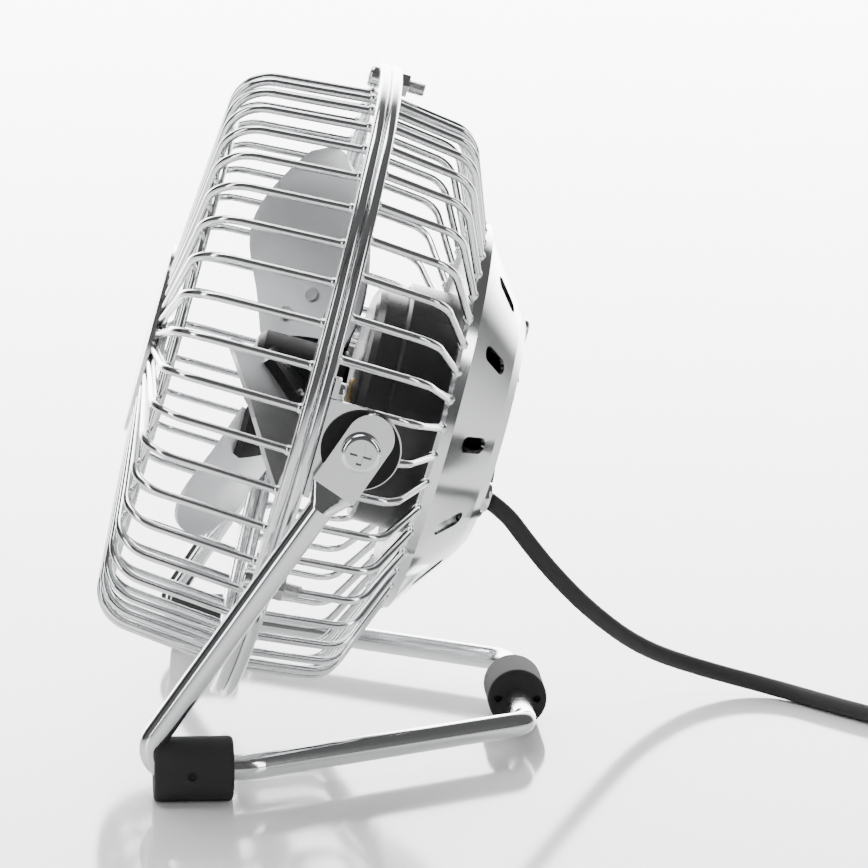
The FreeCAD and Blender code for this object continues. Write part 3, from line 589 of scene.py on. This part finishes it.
def plain_material(name, colour, roughness):
    """Plain stage surface with a trace of tone."""
    material = bpy.data.materials.new(name)
    material.use_nodes = True
    material.node_tree.nodes.clear()
    make = node_maker(material)
    place = make("ShaderNodeTexCoord")
    noise = make("ShaderNodeTexNoise", {"Scale": 3.0, "Detail": 2.0},
                 {"Vector": place.outputs["Object"]})
    shade = make("ShaderNodeMixRGB", {"Color1": (*[0.99 * c for c in colour], 1),
                                      "Color2": (*colour, 1)}, {"Fac": noise.outputs["Fac"]})
    surface = make("ShaderNodeBsdfPrincipled", {"Roughness": roughness},
                   {"Base Color": shade.outputs[0]})
    make("ShaderNodeOutputMaterial", None, {"Surface": surface.outputs["BSDF"]})
    return material


def card(name, centre, aim, size, material):
    """Flat card that faces a point, for what bright metal reflects."""
    half_w, half_h = size[0] / 2, size[1] / 2
    place = (Matrix.Translation(centre)
             @ (Vector(aim) - Vector(centre)).to_track_quat("-Z", "Y").to_matrix().to_4x4())
    corners = [place @ Vector(c) for c in ((-half_w, -half_h, 0), (half_w, -half_h, 0),
                                           (half_w, half_h, 0), (-half_w, half_h, 0))]
    piece = new_piece(name, corners, [(0, 1, 2, 3)], material, smooth=False)
    return piece


def studio_world():
    """Studio surroundings: a bright wall behind the object and a dimmer room in front."""
    world = bpy.data.worlds.new("studio")
    world.use_nodes = True
    world.node_tree.nodes.clear()
    make = node_maker(world)
    place = make("ShaderNodeTexCoord")
    split = make("ShaderNodeSeparateXYZ", None, {"Vector": place.outputs["Generated"]})
    level = make("ShaderNodeMapRange", {"From Min": WALL_START, "From Max": WALL_FULL,
                                        "To Min": ROOM_LIGHT, "To Max": WALL_LIGHT},
                 {"Value": split.outputs["Y"]}, interpolation_type="SMOOTHSTEP")
    glow = make("ShaderNodeBackground", {"Color": (1, 1, 1, 1)},
                {"Strength": level.outputs["Result"]})
    make("ShaderNodeOutputWorld", None, {"Surface": glow.outputs["Background"]})
    return world


class FAN_OT_stage(bpy.types.Operator):
    """Floor, backdrop and soft studio light"""

    bl_idname = "fan.stage"
    bl_label = "Stage"

    def execute(self, context):
        half = sizes().floor_size / 2
        white = plain_material("floor_white", tuple(colours().floor), FLOOR_ROUGHNESS)
        black = plain_material("card_black", CARD_COLOUR, CARD_ROUGHNESS)
        corners = [(-half, -half, 0.0), (half, -half, 0.0), (half, half, 0.0), (-half, half, 0.0)]
        new_piece("floor", corners, [(0, 1, 2, 3)], white, smooth=False)
        for name, place, size in CARDS:
            card(name, place, STAGE_AIM, size, black)
        for name, place, size, power in LIGHTS:
            area_light(name, place, STAGE_AIM, size, power)
        context.scene.world = studio_world()
        return {"FINISHED"}


class FAN_PT_panel(bpy.types.Panel):
    """Sidebar panel with the sizes, colours and steps"""

    bl_idname = "FAN_PT_panel"
    bl_label = "Desk Fan"
    bl_space_type = "VIEW_3D"
    bl_region_type = "UI"
    bl_category = "Desk Fan"

    def draw(self, context):
        for group in (context.scene.fan_sizes, context.scene.fan_colours):
            for name in group.__annotations__:
                self.layout.prop(group, name)
        for step in STEPS:
            self.layout.operator(step.bl_idname)


STEPS = (FAN_OT_camera, FAN_OT_cord, FAN_OT_finishes, FAN_OT_welds, FAN_OT_threads,
         FAN_OT_stage)
CLASSES = (FanSizes, FanColours, FAN_PT_panel) + STEPS


def register():
    """Register the classes and hang the properties on the scene."""
    for cls in CLASSES:
        bpy.utils.register_class(cls)
    bpy.types.Scene.fan_sizes = bpy.props.PointerProperty(type=FanSizes)
    bpy.types.Scene.fan_colours = bpy.props.PointerProperty(type=FanColours)


def unregister():
    """Take the properties and classes away again."""
    del bpy.types.Scene.fan_colours
    del bpy.types.Scene.fan_sizes
    for cls in reversed(CLASSES):
        bpy.utils.unregister_class(cls)


def main():
    """Register and run every step in order."""
    register()
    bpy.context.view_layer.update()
    bpy.ops.fan.camera()
    bpy.ops.fan.cord()
    bpy.ops.fan.finishes()
    bpy.ops.fan.welds()
    bpy.ops.fan.threads()
    bpy.ops.fan.stage()


if __name__ == "__main__":
    main()
